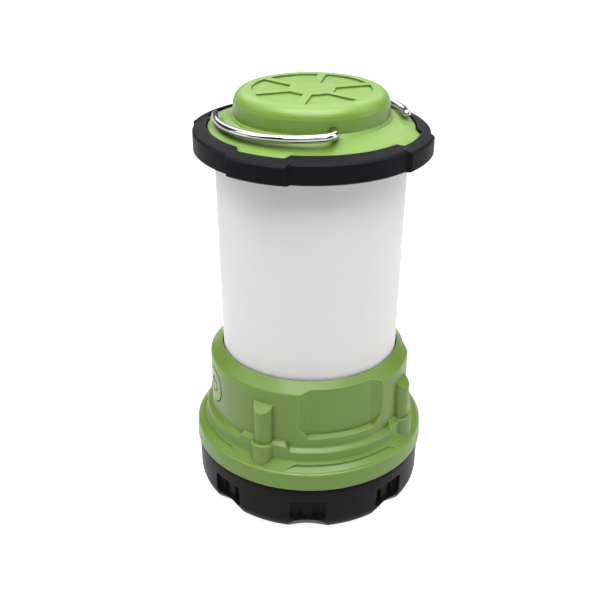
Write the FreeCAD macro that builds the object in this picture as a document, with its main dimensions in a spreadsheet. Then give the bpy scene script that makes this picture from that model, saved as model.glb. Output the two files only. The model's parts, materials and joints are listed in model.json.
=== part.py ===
"""Battery camping lantern: green housing with a frosted globe, a black twist-off
base, a black bumper ring and two folding wire hooks on a domed cap.

Origin: centre of the base at the level of the feet. +Z is up, millimetres.
The power button faces -X. The hook hinges run along Y, one on each side of X = 0.
"""
import FreeCAD, Part

import math
import os
import re

from FreeCAD import Placement, Rotation, Vector
import Sketcher

X_AXIS = Vector(1, 0, 0)
Y_AXIS = Vector(0, 1, 0)
Z_AXIS = Vector(0, 0, 1)
CELL_AZIMUTHS = (0, 120, 240)
VALLEY_AZIMUTHS = (60, 180, 300)
CORNER_AZIMUTHS = (45, 135, -135, -45)
LEAD_X = "6.7 - button_seat"
LEAD_SIDES = ("-3", "3")
HINGES = {"left": ("-", 90.0), "right": ("", -90.0)}

# ---------------------------------------------------------------------------
# Driving dimensions: millimetres and degrees
# ---------------------------------------------------------------------------
SIZES = {
    # black twist-off battery cover
    "foot_inner_radius": 40.5,
    "foot_radius": 52.1,
    "foot_fillet": 8.0,
    "floor_recess": 0.6,
    "floor_top": 2.2,
    "cover_radius": 52.5,
    "cover_top": 24.2,
    "cover_bore": 46.3,
    "neck_radius": 48.5,
    "neck_wall": 2.0,
    "neck_top": 31.2,
    "groove_depth": 0.6,
    "groove_low": 25.2,
    "groove_width": 1.8,
    "seal_section": 0.85,
    "spring_wire": 0.45,
    "spring_foot": 7.0,
    "spring_head": 3.2,
    "spring_rise": 3.0,
    "spring_halves": 5,
    "lug_radius": 50.0,
    "lug_low": 29.0,
    "lug_height": 1.6,
    "lug_width": 12.0,
    "panel_count": 8,
    "panel_clocking": 25.3,
    "pocket_floor": 49.3,
    "pocket_width": 16.4,
    "pocket_low": 6.9,
    "pocket_high": 17.8,
    "slot_width": 2.9,
    "slot_height": 7.2,
    "slot_low": 6.8,
    "slot_pitch": 7.0,
    "slot_depth": 1.1,
    "scallop_middle": 47.9,
    "scallop_height": 3.4,
    "scallop_lean": 42.0,
    "scallop_radius": 27.0,
    # green housing: skirt, belt and collar
    "seam_height": 24.6,
    "skirt_radius": 53.4,
    "skirt_top": 32.7,
    "skirt_bore": 50.3,
    "belt_radius": 48.1,
    "belt_foot": 36.6,
    "belt_top": 40.9,
    "collar_radius": 45.7,
    "collar_top": 68.4,
    "collar_bore": 41.3,
    "rim_radius": 40.2,
    "rim_height": 72.9,
    "seat_radius": 41.2,
    "lip_underside": 70.8,
    "flange_radius": 48.9,
    "flange_low": 27.2,
    "flange_height": 1.5,
    "twist_angle": 30.0,
    # collar windows and ribs
    "window_floor": 43.4,
    "window_low": 46.5,
    "window_half_width": 19.4,
    "window_corner": 5.6,
    "window_bevel": 1.1,
    "window_draft": 30.0,
    "rib_centre": 45.2,
    "rib_radius": 4.6,
    "rib_top": 62.5,
    "rib_slant": 38.0,
    "column_centre": 45.7,
    "column_radius": 5.8,
    "shoulder_rise": 2.4,
    "shoulder_half_width": 10.5,
    "shoulder_end": 2.7,
    "slope_recess": 1.0,
    "slope_chord": 44.1,
    # power button
    "button_height": 55.8,
    "button_radius": 8.0,
    "button_hole": 8.5,
    "button_seat": 41.6,
    "button_flange": 9.6,
    "button_travel": 0.8,
    "stem_radius": 2.5,
    # battery holder and cells
    "cell_radius": 17.1,
    "cell_length": 61.5,
    "cell_low": 7.0,
    "cell_offset": 20.6,
    "tube_bore": 17.35,
    "tube_radius": 18.5,
    "tube_low": 14.0,
    "deck_radius": 41.0,
    "deck_low": 67.1,
    "deck_top": 68.5,
    "nub_radius": 4.75,
    "nub_hole": 5.6,
    "boss_offset": 43.0,
    "ear_radius": 3.0,
    "ear_low": 43.0,
    "ear_top": 46.0,
    "post_offset": 31.5,
    "post_radius": 3.2,
    "post_top": 72.5,
    # light engine above the deck
    "board_radius": 35.0,
    "board_thickness": 1.6,
    "spacer_top": 80.1,
    "spreader_radius": 36.8,
    "spreader_thickness": 1.5,
    "led_board_radius": 25.0,
    "chip_ring": 18.0,
    "chip_side": 5.0,
    "chip_height": 0.9,
    # frosted globe
    "globe_foot_radius": 41.0,
    "globe_foot_low": 68.6,
    "globe_foot_top": 70.0,
    "globe_low_radius": 39.6,
    "globe_high_radius": 41.0,
    "globe_wall": 2.2,
    "globe_taper_top": 164.0,
    "globe_rim_radius": 42.2,
    "globe_rim_low": 166.4,
    "globe_rim_top": 168.3,
    "globe_top": 170.0,
    "globe_web": 2.0,
    # bumper ring
    "ring_low": 164.1,
    "ring_radius": 49.7,
    "ring_edge": 172.0,
    "ring_top": 174.4,
    "ring_lip_radius": 43.8,
    "ring_ledge": 171.8,
    "bulge_radius": 51.5,
    "bulge_lip_radius": 46.3,
    # top cap
    "cap_flange_radius": 43.5,
    "cap_tab_radius": 46.0,
    "cap_flange_top": 173.8,
    "cap_skirt_radius": 40.6,
    "cap_skirt_low": 170.8,
    "dome_radius": 32.8,
    "dome_foot": 178.2,
    "dome_wall_top": 184.6,
    "dome_wall": 2.5,
    "dome_top": 188.8,
    "shoulder_start": 27.3,
    "shoulder_round": 5.12,
    "well_radius": 25.1,
    "well_depth": 0.8,
    "hub_radius": 9.7,
    "spoke_width": 3.4,
    "cap_screw_offset": 26.0,
    # folding wire hooks
    "wire_radius": 1.7,
    "hinge_height": 180.2,
    "hinge_offset": 2.7,
    "hook_radius": 39.8,
    "hook_bend": 5.0,
    "hook_root": 25.9,
    "hook_sweep": 107.0,
    "hook_droop": 3.7,
    "bearing_radius": 1.78,
    "bearing_inner": 27.8,
}

doc = FreeCAD.newDocument("camping_lantern")
sheet = doc.addObject("Spreadsheet::Sheet", "Sizes")
for row, (alias, value) in enumerate(SIZES.items(), start=1):
    sheet.set(f"A{row}", alias)
    sheet.set(f"B{row}", str(value))
    sheet.setAlias(f"B{row}", alias)
doc.recompute()

pieces = []


# ---------------------------------------------------------------------------
# Helpers
# ---------------------------------------------------------------------------
def expand(text):
    """Give each size named in an expression its place in the sheet."""
    def full_name(match):
        word = match.group()
        return "Sizes." + word if word in SIZES else word
    return re.sub(r"[a-z][a-z_]*[a-z]", full_name, str(text))


def bind(thing, **expressions):
    """Bind properties of an object to the sheet."""
    for name, text in expressions.items():
        thing.setExpression(name.replace("__", "."), expand(text))
    return thing


def size(name):
    """One size read from the sheet."""
    return float(sheet.get(name))


def locate(thing, x="0", y="0", z="0"):
    """Bind an object's place to the sheet."""
    return bind(thing, Placement__Base__x=x, Placement__Base__y=y, Placement__Base__z=z)


def turned(azimuth, tilt=0.0):
    """Rotation that leans an object by tilt about Y and then turns it about Z."""
    return Rotation(Z_AXIS, azimuth) * Rotation(Y_AXIS, tilt)


def around(azimuth, radius):
    """Expressions for the X and Y of a point at a radius and an azimuth."""
    return f"({radius}) * cos({azimuth} deg)", f"({radius}) * sin({azimuth} deg)"


def piece(thing, name):
    """Mark an object as a finished sub-part under its own name."""
    thing.Label = name
    pieces.append(thing)
    return thing


def outline(sketch, points):
    """Closed straight-sided outline whose corners are bound to the sheet."""
    count = len(points)
    for index in range(count):
        start = Rotation(Z_AXIS, 360.0 * index / count).multVec(X_AXIS * 50)
        end = Rotation(Z_AXIS, 360.0 * (index + 1) / count).multVec(X_AXIS * 50)
        sketch.addGeometry(Part.LineSegment(start, end), False)
    for index in range(count):
        sketch.addConstraint(Sketcher.Constraint("Coincident", index, 2, (index + 1) % count, 1))
    for index, corner in enumerate(points):
        for kind, axis, text in (("DistanceX", -2, corner[0]), ("DistanceY", -1, corner[1])):
            if str(text) == "0":
                sketch.addConstraint(Sketcher.Constraint("PointOnObject", index, 1, axis))
            else:
                number = sketch.addConstraint(Sketcher.Constraint(kind, -1, 1, index, 1, 50.0))
                sketch.setExpression(f"Constraints[{number}]", expand(text))


def sketch_on(body, role, name):
    """Sketch attached to one of the body's own origin planes."""
    sketch = body.newObject("Sketcher::SketchObject", name)
    plane = next(item for item in body.Origin.OriginFeatures if item.Role == role)
    sketch.AttachmentSupport = [(plane, "")]
    sketch.MapMode = "FlatFace"
    return sketch


def turning(name, points, angle=360.0):
    """Body turned about Z from a profile of (radius, height) corners."""
    body = doc.addObject("PartDesign::Body", name)
    sketch = sketch_on(body, "XZ_Plane", name + "_profile")
    outline(sketch, points)
    turn = body.newObject("PartDesign::Revolution", name + "_turn")
    turn.Profile = sketch
    turn.ReferenceAxis = (sketch, ["V_Axis"])
    turn.Angle = angle
    turn.Midplane = angle < 360.0
    return body


def prism(name, role, points, length):
    """Body extruded from an outline on an origin plane, to both sides of it."""
    body = doc.addObject("PartDesign::Body", name)
    sketch = sketch_on(body, role, name + "_profile")
    outline(sketch, points)
    pad = body.newObject("PartDesign::Pad", name + "_pad")
    pad.Profile = sketch
    pad.SideType = "Symmetric"
    bind(pad, Length=length)
    return body


def is_circle(edge, radius, height):
    """Whether an edge lies on a circle about Z at a radius and a height."""
    box = edge.BoundBox
    middle = edge.valueAt((edge.FirstParameter + edge.LastParameter) / 2)
    flat = abs(box.ZMin - height) < 0.02 and abs(box.ZMax - height) < 0.02
    return flat and abs((middle.x ** 2 + middle.y ** 2) ** 0.5 - radius) < 0.02


def round_body(body, name, radius, chosen):
    """Fillet the edges of a body that a test picks out."""
    doc.recompute()
    names = [f"Edge{i}" for i, edge in enumerate(body.Shape.Edges, start=1) if chosen(edge)]
    fillet = body.newObject("PartDesign::Fillet", name)
    fillet.Base = (body.Tip if body.Tip is not fillet else fillet.BaseFeature, names)
    bind(fillet, Radius=radius)
    return fillet


def round_edges(name, base, radius, chosen):
    """Part fillet on the edges of an object that a test picks out."""
    doc.recompute()
    numbers = [i for i, edge in enumerate(base.Shape.Edges, start=1) if chosen(edge)]
    fillet = doc.addObject("Part::Fillet", name)
    fillet.Base = base
    fillet.Edges = [(number, radius, radius) for number in numbers]
    return fillet


def cylinder(name, radius, height, x="0", y="0", z="0", rotation=None):
    """Cylinder that rises from its place, along Z unless it is turned."""
    made = doc.addObject("Part::Cylinder", name)
    if rotation:
        made.Placement = Placement(Vector(), rotation)
    bind(made, Radius=radius, Height=height)
    return locate(made, x, y, z)


def on_hinge(name, side, radius, start, length):
    """Cylinder on one hook's hinge line, from a distance start outwards."""
    sign, lean = HINGES[side]
    return cylinder(f"{name}_{side}", radius, length, f"{sign}hinge_offset", f"{sign}({start})",
                    "hinge_height", Rotation(X_AXIS, lean))


def block(name, length, width, height, azimuth, radius, z, tilt=0.0):
    """Box that starts at a radius on an azimuth and is centred across it."""
    made = doc.addObject("Part::Box", name)
    bind(made, Length=length, Width=width, Height=height)
    made.Placement = Placement(Vector(), turned(azimuth, tilt))
    x = f"({radius}) * cos({azimuth} deg) + ({width}) / 2 * sin({azimuth} deg)"
    y = f"({radius}) * sin({azimuth} deg) - ({width}) / 2 * cos({azimuth} deg)"
    return locate(made, x, y, z)


def tube(name, outer, inner, height, x="0", y="0", z="0"):
    """Hollow cylinder."""
    solid = cylinder(name + "_outside", outer, height, x, y, z)
    hollow = cylinder(name + "_inside", inner, height, x, y, z)
    return cut(name, solid, hollow)


def fuse(name, parts):
    """Union of several objects."""
    made = doc.addObject("Part::MultiFuse", name)
    made.Shapes = parts
    return made


def cut(name, base, tool):
    """One object less another."""
    made = doc.addObject("Part::Cut", name)
    made.Base = base
    made.Tool = tool
    return made


def common(name, parts):
    """What several objects share."""
    made = doc.addObject("Part::MultiCommon", name)
    made.Shapes = parts
    return made


def group(name, parts):
    """Separate solids kept together in one node."""
    made = doc.addObject("Part::Compound", name)
    made.Links = parts
    return made


def screw(name, x, y, head_z, length, shank, head, head_height, upward):
    """Pan-head screw along Z. Its head rests at head_z and its shank runs up or down."""
    shank_z = f"{head_z}" if upward else f"({head_z}) - ({length})"
    top_z = f"({head_z}) - ({head_height})" if upward else f"{head_z}"
    body = cylinder(name + "_shank", shank, length, x, y, shank_z)
    cap = cylinder(name + "_head", head, head_height, x, y, top_z)
    slot_z = f"({head_z}) - ({head_height})" if upward else f"({head_z}) + ({head_height}) / 2"
    drive = cylinder(name + "_drive", f"({head}) * 0.45", f"({head_height}) / 2", x, y, slot_z)
    return cut(name, fuse(name + "_blank", [body, cap]), drive)


# ---------------------------------------------------------------------------
# Twist-off battery cover and what it carries
# ---------------------------------------------------------------------------
def make_battery_cover():
    """Black cup with grip pockets, scalloped feet, a neck and four bayonet lugs."""
    shell = turning("cover_shell", [
        ("0", "floor_recess"),
        ("foot_inner_radius - 0.8", "floor_recess"),
        ("foot_inner_radius", "0"),
        ("foot_radius", "0"),
        ("cover_radius", "cover_top - 2"),
        ("cover_radius - 0.4", "cover_top"),
        ("neck_radius", "cover_top"),
        ("neck_radius", "groove_low"),
        ("neck_radius - groove_depth", "groove_low"),
        ("neck_radius - groove_depth", "groove_low + groove_width"),
        ("neck_radius", "groove_low + groove_width"),
        ("neck_radius", "neck_top - 0.5"),
        ("neck_radius - 0.5", "neck_top"),
        ("neck_radius - neck_wall", "neck_top"),
        ("neck_radius - neck_wall", "cover_top - 4"),
        ("cover_bore", "cover_top - 5"),
        ("cover_bore", "floor_top + 3.5"),
        ("cover_bore - 3.5", "floor_top"),
        ("0", "floor_top"),
    ])
    foot = size("foot_radius")
    round_body(shell, "foot_round", "foot_fillet", lambda edge: is_circle(edge, foot, 0))
    panels = []
    for number in range(int(size("panel_count"))):
        azimuth = size("panel_clocking") + 360.0 * number / size("panel_count")
        panels.append(grip_pocket(f"grip_pocket_{number}", azimuth))
        panels.append(foot_scallop(f"foot_scallop_{number}", azimuth))
        for side in (-1, 1):
            panels.append(grip_slot(f"grip_slot_{number}_{side}", azimuth, side))
    lined = cut("panelled_shell", shell, fuse("panel_cutters", panels))
    band = turning("lug_band", [
        ("neck_radius - 1", "lug_low"),
        ("lug_radius", "lug_low"),
        ("lug_radius", "lug_low + lug_height"),
        ("neck_radius - 1", "lug_low + lug_height"),
    ])
    sectors = [
        block(f"lug_sector_{azimuth}", "12", "lug_width", "10", azimuth, "44", "lug_low - 4")
        for azimuth in range(0, 360, 90)
    ]
    lugs = common("bayonet_lugs", [band, fuse("lug_sectors", sectors)])
    pilots = [
        cylinder(f"cover_pilot_{azimuth}", "1.45", "3", *around(azimuth, "12"), "floor_top - 1.05")
        for azimuth in VALLEY_AZIMUTHS
    ]
    piece(cut("cover", fuse("cover_with_lugs", [lined, lugs]), fuse("cover_pilots", pilots)),
          "battery_cover")


def grip_pocket(name, azimuth):
    """Flat-bottomed cutter with rounded upper corners and a bowed lower edge."""
    pocket = prism(name, "YZ_Plane", [
        ("-pocket_width / 2", "pocket_low + 1.3"),
        ("0.9 - pocket_width / 2", "pocket_low + 0.5"),
        ("-pocket_width / 4", "pocket_low"),
        ("pocket_width / 4", "pocket_low"),
        ("pocket_width / 2 - 0.9", "pocket_low + 0.5"),
        ("pocket_width / 2", "pocket_low + 1.3"),
        ("pocket_width / 2", "pocket_high - 1.4"),
        ("pocket_width / 2 - 0.4", "pocket_high - 0.4"),
        ("pocket_width / 2 - 1.4", "pocket_high"),
        ("1.4 - pocket_width / 2", "pocket_high"),
        ("0.4 - pocket_width / 2", "pocket_high - 0.4"),
        ("-pocket_width / 2", "pocket_high - 1.4"),
    ], "10")
    pocket.Tip.SideType = "One side"
    start = turned(azimuth).multVec(X_AXIS * size("pocket_floor"))
    pocket.Placement = Placement(start, turned(azimuth))
    return pocket


def foot_scallop(name, azimuth):
    """Large cylinder that leans outwards and scoops a shallow hollow under a pocket."""
    reach = 30
    radius = (f"scallop_middle + scallop_radius * cos(scallop_lean * 1 deg)"
              f" - {reach} * sin(scallop_lean * 1 deg)")
    height = (f"scallop_height - scallop_radius * sin(scallop_lean * 1 deg)"
              f" - {reach} * cos(scallop_lean * 1 deg)")
    return cylinder(name, "scallop_radius", f"{2 * reach}", *around(azimuth, radius), height,
                    turned(azimuth, size("scallop_lean")))


def grip_slot(name, azimuth, side):
    """Round-ended cutter for one of the two slots in a grip pocket."""
    across = f"({side} * slot_pitch / 2)"
    width = "slot_width"
    made = doc.addObject("Part::Box", name)
    bind(made, Length="slot_depth + 1", Width=width, Height="slot_height")
    made.Placement = Placement(Vector(), turned(azimuth))
    radius = "(pocket_floor - slot_depth)"
    edge = f"({across} - {width} / 2)"
    locate(
        made,
        f"{radius} * cos({azimuth} deg) - {edge} * sin({azimuth} deg)",
        f"{radius} * sin({azimuth} deg) + {edge} * cos({azimuth} deg)",
        "slot_low",
    )
    along = Rotation(Z_AXIS, azimuth).multVec(X_AXIS)

    def runs_out(line):
        direction = line.tangentAt(line.FirstParameter)
        return abs(direction.dot(along)) > 0.99

    return round_edges(name + "_round", made, size(width) / 2 - 0.02, runs_out)


def make_cover_parts():
    """Seal, common negative plate, three conical springs and their screws."""
    seal = doc.addObject("Part::Torus", "seal_ring")
    bind(seal, Radius1="neck_radius - groove_depth + seal_section + 0.05", Radius2="seal_section")
    locate(seal, z="groove_low + groove_width / 2")
    piece(seal, "cover_seal")
    disc = cylinder("plate_disc", "36", "0.4", z="floor_top")
    holes = []
    screws = []
    for azimuth in VALLEY_AZIMUTHS:
        x, y = around(azimuth, "12")
        holes.append(cylinder(f"plate_hole_{azimuth}", "1.6", "2", x, y, "floor_top - 1"))
        screws.append(screw(f"cover_screw_{azimuth}", x, y, "floor_top + 0.4", "1.4",
                            "1.4", "2.8", "1.2", False))
    piece(cut("plate_with_holes", disc, fuse("plate_holes", holes)), "cover_contact_plate")
    piece(group("cover_screw_set", screws), "cover_screws")
    springs = []
    for azimuth in CELL_AZIMUTHS:
        x, y = around(azimuth, "cell_offset")
        springs.append(conical_spring(f"spring_{azimuth}", x, y, "floor_top + 0.45 + spring_wire"))
    piece(group("spring_set", springs), "cover_springs")


def conical_spring(name, x, y, z):
    """Conical compression spring: half turns that shrink and climb, end to end."""
    halves = int(size("spring_halves"))
    wire = size("spring_wire")
    ends = []
    for number in range(halves + 1):
        share = number / halves
        radius = size("spring_foot") * (1 - share) + size("spring_head") * share
        ends.append(Vector(radius * (-1) ** number, 0, size("spring_rise") * share))
    arcs = []
    for start, end in zip(ends, ends[1:]):
        side = Y_AXIS if start.x > 0 else -Y_AXIS
        crown = (start + end) / 2 + side * ((end - start).Length / 2)
        arcs.append(Part.Arc(start, crown, end).toShape())
    section = Part.Wire([Part.makeCircle(wire, ends[0], Y_AXIS)])
    made = doc.addObject("Part::Feature", name)
    made.Shape = Part.Wire(arcs).makePipeShell([section], True, False)
    return locate(made, x, y, z)


# ---------------------------------------------------------------------------
# Green housing
# ---------------------------------------------------------------------------
def window_cutter():
    """Three recessed windows, open at the rim, with drafted sides and cut-off corners."""
    band = turning("window_band", [
        ("window_floor", "window_low + window_bevel"),
        ("window_floor", "rim_height + 5"),
        ("skirt_radius", "rim_height + 5"),
        ("skirt_radius", "window_low - window_bevel * 3"),
    ])
    frames = []
    for azimuth in (-90, 0, 90):
        frame = prism(f"window_frame_{azimuth}", "YZ_Plane", [
            ("-window_half_width", "rim_height + 15"),
            ("-window_half_width", "window_low + window_corner"),
            ("window_corner - window_half_width", "window_low"),
            ("window_half_width - window_corner", "window_low"),
            ("window_half_width", "window_low + window_corner"),
            ("window_half_width", "rim_height + 15"),
        ], "20")
        frame.Tip.SideType = "One side"
        bind(frame.Tip, TaperAngle="window_draft")
        start = size("collar_radius") * 0.9
        frame.Placement = Placement(turned(azimuth).multVec(X_AXIS * start), turned(azimuth))
        frames.append(frame)
    return common("windows", [band, fuse("window_frames", frames)])


def slope_cutter():
    """Four shallow arcs sunk into the skirt's slope, each ended by a straight chord."""
    band = turning("slope_band", [
        ("belt_radius + 1.1", "belt_foot - 1.1 - slope_recess"),
        ("belt_radius + 1.1", "belt_foot + 3"),
        ("skirt_radius + 3", "belt_foot + 3"),
        ("skirt_radius + 3", "skirt_top - 3.4"),
        ("skirt_radius - 0.5", "skirt_top - 0.1"),
    ])
    wedges = [
        block(f"slope_wedge_{azimuth}", "20", "80", "60", azimuth, "slope_chord", "0")
        for azimuth in range(0, 360, 90)
    ]
    return common("slope_recesses", [band, fuse("slope_wedges", wedges)])


def rib(azimuth):
    """Half-round rib on a thicker column, cut to a slanted facet at its top."""
    upper = cylinder(f"rib_upper_{azimuth}", "rib_radius", "rib_top + 2 - skirt_top",
                     *around(azimuth, "rib_centre"), "skirt_top")
    facet = block(f"rib_facet_{azimuth}", "30", "20", "20", azimuth,
                  "collar_radius - 0.3 - 10 * cos(rib_slant * 1 deg)",
                  "rib_top + 10 * sin(rib_slant * 1 deg)", size("rib_slant"))
    column = turning(f"rib_column_{azimuth}", [
        ("0", "skirt_top - 2"),
        ("column_radius", "skirt_top - 2"),
        ("column_radius", "belt_top + shoulder_rise - 0.7"),
        ("column_radius - 0.2", "belt_top + shoulder_rise - 0.2"),
        ("column_radius - 0.7", "belt_top + shoulder_rise + 0.1"),
        ("0", "belt_top + shoulder_rise + 0.9"),
    ])
    locate(column, *around(azimuth, "column_centre"), "0")
    return [cut(f"rib_{azimuth}", upper, facet), column]


def shoulders():
    """Raised lengths of the belt on both sides of each rib, with sloping ends."""
    band = turning("shoulder_band", [
        ("collar_bore + 2", "belt_top - 2"),
        ("belt_radius", "belt_top - 2"),
        ("belt_radius", "belt_top + shoulder_rise - 0.6"),
        ("belt_radius - 0.2", "belt_top + shoulder_rise - 0.1"),
        ("belt_radius - 0.7", "belt_top + shoulder_rise + 0.3"),
        ("collar_radius + 0.4", "belt_top + shoulder_rise + 1.2"),
        ("collar_radius", "belt_top + shoulder_rise + 1.7"),
        ("collar_bore + 2", "belt_top + shoulder_rise + 1.7"),
    ])
    foot = "shoulder_half_width + shoulder_end"
    frames = []
    for azimuth in CORNER_AZIMUTHS:
        frame = prism(f"shoulder_frame_{azimuth}", "YZ_Plane", [
            (f"-({foot}) - 1", "belt_top - 3"),
            (f"{foot} + 1", "belt_top - 3"),
            (foot, "belt_top"),
            ("shoulder_half_width", "belt_top + shoulder_rise + 0.6"),
            ("shoulder_half_width - 0.8", "belt_top + shoulder_rise + 3"),
            ("0.8 - shoulder_half_width", "belt_top + shoulder_rise + 3"),
            ("-shoulder_half_width", "belt_top + shoulder_rise + 0.6"),
            (f"-({foot})", "belt_top"),
        ], "40")
        frame.Placement = Placement(turned(azimuth).multVec(X_AXIS * 50), turned(azimuth))
        frames.append(frame)
    return common("shoulder_set", [band, fuse("shoulder_frames", frames)])


def make_housing():
    """Skirt, belt and collar with windows, ribs, button hole and bayonet flange."""
    outside = turning("housing_outside", [
        ("0", "seam_height"),
        ("skirt_radius - 0.4", "seam_height"),
        ("skirt_radius", "seam_height + 0.4"),
        ("skirt_radius - 0.4", "skirt_top - 0.9"),
        ("skirt_radius - 0.7", "skirt_top - 0.3"),
        ("skirt_radius - 1.2", "skirt_top"),
        ("belt_radius + 0.4", "belt_foot - 0.3"),
        ("belt_radius", "belt_foot + 0.2"),
        ("belt_radius", "belt_top - 0.6"),
        ("belt_radius - 0.2", "belt_top - 0.1"),
        ("belt_radius - 0.7", "belt_top + 0.3"),
        ("collar_radius + 0.4", "belt_top + 1.2"),
        ("collar_radius", "belt_top + 1.7"),
        ("collar_radius", "collar_top - 0.5"),
        ("collar_radius - 0.4", "collar_top + 0.2"),
        ("rim_radius + 0.3", "rim_height"),
        ("0", "rim_height"),
    ])
    cavity = turning("housing_cavity", [
        ("0", "seam_height - 1"),
        ("skirt_bore", "seam_height - 1"),
        ("skirt_bore", "skirt_top - 1"),
        ("collar_bore + 3.6", "skirt_top + 4.4"),
        ("collar_bore", "skirt_top + 8"),
        ("collar_bore", "deck_low - 0.7"),
        ("seat_radius", "deck_low - 0.6"),
        ("seat_radius", "lip_underside"),
        ("rim_radius", "lip_underside"),
        ("rim_radius", "rim_height + 1"),
        ("0", "rim_height + 1"),
    ])
    raised = [shoulders()]
    for azimuth in CORNER_AZIMUTHS:
        raised += rib(azimuth)
    recessed = cut("recessed_housing", outside, fuse("outer_cutters", [window_cutter(), slope_cutter()]))
    body = fuse("ribbed_housing", [recessed] + raised)
    hollows = [cavity]
    for azimuth in CORNER_AZIMUTHS:
        x, y = around(azimuth, "boss_offset")
        hollows.append(cylinder(f"screw_channel_{azimuth}", "ear_radius + 0.3",
                                "ear_top + 0.1 - 30", x, y, "30"))
        hollows.append(cylinder(f"screw_pilot_{azimuth}", "1.35", "13", x, y, "ear_top"))
    inward = Rotation(Y_AXIS, -90)
    hollows.append(cylinder("button_opening", "button_hole", "12", "-38", "0", "button_height", inward))
    hollows.append(cylinder("button_counterbore", "button_hole + 3", "button_seat - 34", "-34", "0",
                            "button_height", inward))
    shelled = cut("shelled_housing", body, fuse("inner_cutters", hollows))
    flange = turning("bayonet_flange", [
        ("flange_radius", "flange_low"),
        ("skirt_bore + 0.6", "flange_low - 0.8"),
        ("skirt_bore + 0.6", "flange_low + flange_height"),
        ("flange_radius", "flange_low + flange_height"),
    ])
    entries = [
        block(f"lug_entry_{azimuth}", "12", "lug_width + 2", "10", azimuth - size("twist_angle"),
              "44", "flange_low - 3")
        for azimuth in range(0, 360, 90)
    ]
    keeper = cut("bayonet_keeper", flange, fuse("lug_entries", entries))
    stops = [
        block(f"lug_stop_{azimuth}", "1.6", "2", "3.4", azimuth + 9.6, "flange_radius + 0.1",
              "flange_low + 0.2")
        for azimuth in range(0, 360, 90)
    ]
    return piece(fuse("housing", [shelled, keeper] + stops), "base_housing")


# ---------------------------------------------------------------------------
# Battery holder, cells and contacts
# ---------------------------------------------------------------------------
def make_battery_holder():
    """Three tubes under a deck, with screw ears, posts and the switch bracket."""
    solids = [cylinder("deck_plate", "deck_radius", "deck_top - deck_low", z="deck_low")]
    hollows = []
    for azimuth in CELL_AZIMUTHS:
        x, y = around(azimuth, "cell_offset")
        solids.append(cylinder(f"tube_{azimuth}", "tube_radius", "deck_low - tube_low + 0.2",
                               x, y, "tube_low"))
        hollows.append(cylinder(f"tube_hollow_{azimuth}", "tube_bore", "deck_low - tube_low + 1",
                                x, y, "tube_low - 1"))
        hollows.append(cylinder(f"nub_opening_{azimuth}", "nub_hole", "6", x, y, "deck_low - 3"))
    for azimuth in CORNER_AZIMUTHS:
        x, y = around(azimuth, "boss_offset")
        solids.append(cylinder(f"ear_{azimuth}", "ear_radius", "ear_top - ear_low", x, y, "ear_low"))
        solids.append(block(f"ear_arm_{azimuth}", "boss_offset - 24.6", "4.6", "ear_top - ear_low",
                            azimuth, "24.6", "ear_low"))
        hollows.append(cylinder(f"ear_hole_{azimuth}", "1.6", "5", x, y, "ear_low - 1"))
    for azimuth in VALLEY_AZIMUTHS:
        x, y = around(azimuth, "post_offset")
        solids.append(cylinder(f"post_{azimuth}", "post_radius", "post_top - deck_top + 0.2",
                               x, y, "deck_top - 0.2"))
        hollows.append(cylinder(f"post_pilot_{azimuth}", "1.25", "5", x, y, "post_top - 4.6"))
    solids.append(block("switch_bracket", "1.6", "14", "21.2", 180, "31.1", "deck_low - 21"))
    solids.append(block("bracket_web", "14", "1.6", "21.2", 180, "17.5", "deck_low - 21"))
    outward = Rotation(Y_AXIS, -90)
    for height in ("button_height - 6.6", "button_height + 6.6"):
        hollows.append(cylinder(f"bracket_pilot{len(hollows)}", "0.85", "4", "-29.5", "0", height,
                                outward))
    hollows.append(block("return_slot", "1", "6.6", "10", 60, "23.7", "deck_low - 3"))
    for side in LEAD_SIDES:
        hollows.append(cylinder(f"lead_hole_{side}", "0.9", "6", LEAD_X, side, "deck_low - 3"))
    solid = fuse("holder_solid", solids)
    return piece(cut("holder", solid, fuse("holder_hollows", hollows)), "battery_holder")


def make_holder_parts():
    """Screws, three D cells, the positive plate and the return strip."""
    screws = [
        screw(f"holder_screw_{azimuth}", *around(azimuth, "boss_offset"), "ear_low", "12",
              "1.35", "2.7", "2", True)
        for azimuth in CORNER_AZIMUTHS
    ]
    piece(group("holder_screw_set", screws), "holder_screws")
    for azimuth, letter in zip(CELL_AZIMUTHS, "abc"):
        top = "cell_low + cell_length"
        cell = turning(f"cell_{letter}", [
            ("0", "cell_low + 0.5"),
            ("13", "cell_low + 0.5"),
            ("14", "cell_low"),
            ("cell_radius - 0.9", "cell_low"),
            ("cell_radius", "cell_low + 0.9"),
            ("cell_radius", f"{top} - 3"),
            ("cell_radius - 0.9", f"{top} - 2.1"),
            ("cell_radius - 2", f"{top} - 2.1"),
            ("cell_radius - 3", f"{top} - 2.6"),
            ("nub_radius + 1", f"{top} - 2.6"),
            ("nub_radius", f"{top} - 1.6"),
            ("nub_radius", f"{top} - 0.4"),
            ("nub_radius - 0.4", top),
            ("0", top),
        ])
        locate(cell, *around(azimuth, "cell_offset"), "0")
        piece(cell, f"d_cell_{letter}")
    star = [cylinder("star_hub", "12", "0.5", z="deck_top")]
    for azimuth in CELL_AZIMUTHS:
        star.append(block(f"star_arm_{azimuth}", "cell_offset", "10", "0.5", azimuth, "0", "deck_top"))
        star.append(cylinder(f"star_pad_{azimuth}", "nub_hole + 1.5", "0.5",
                             *around(azimuth, "cell_offset"), "deck_top"))
    piece(fuse("star", star), "positive_plate")
    strip = [
        block("strip_run", "0.4", "5.6", "post_top - 3.4", 60, "24", "3.4"),
        block("strip_foot", "3", "5.6", "0.4", 60, "24", "3"),
        block("strip_toe", "0.4", "5.6", "0.5", 60, "26.6", "3"),
    ]
    piece(fuse("strip", strip), "return_contact")


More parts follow.
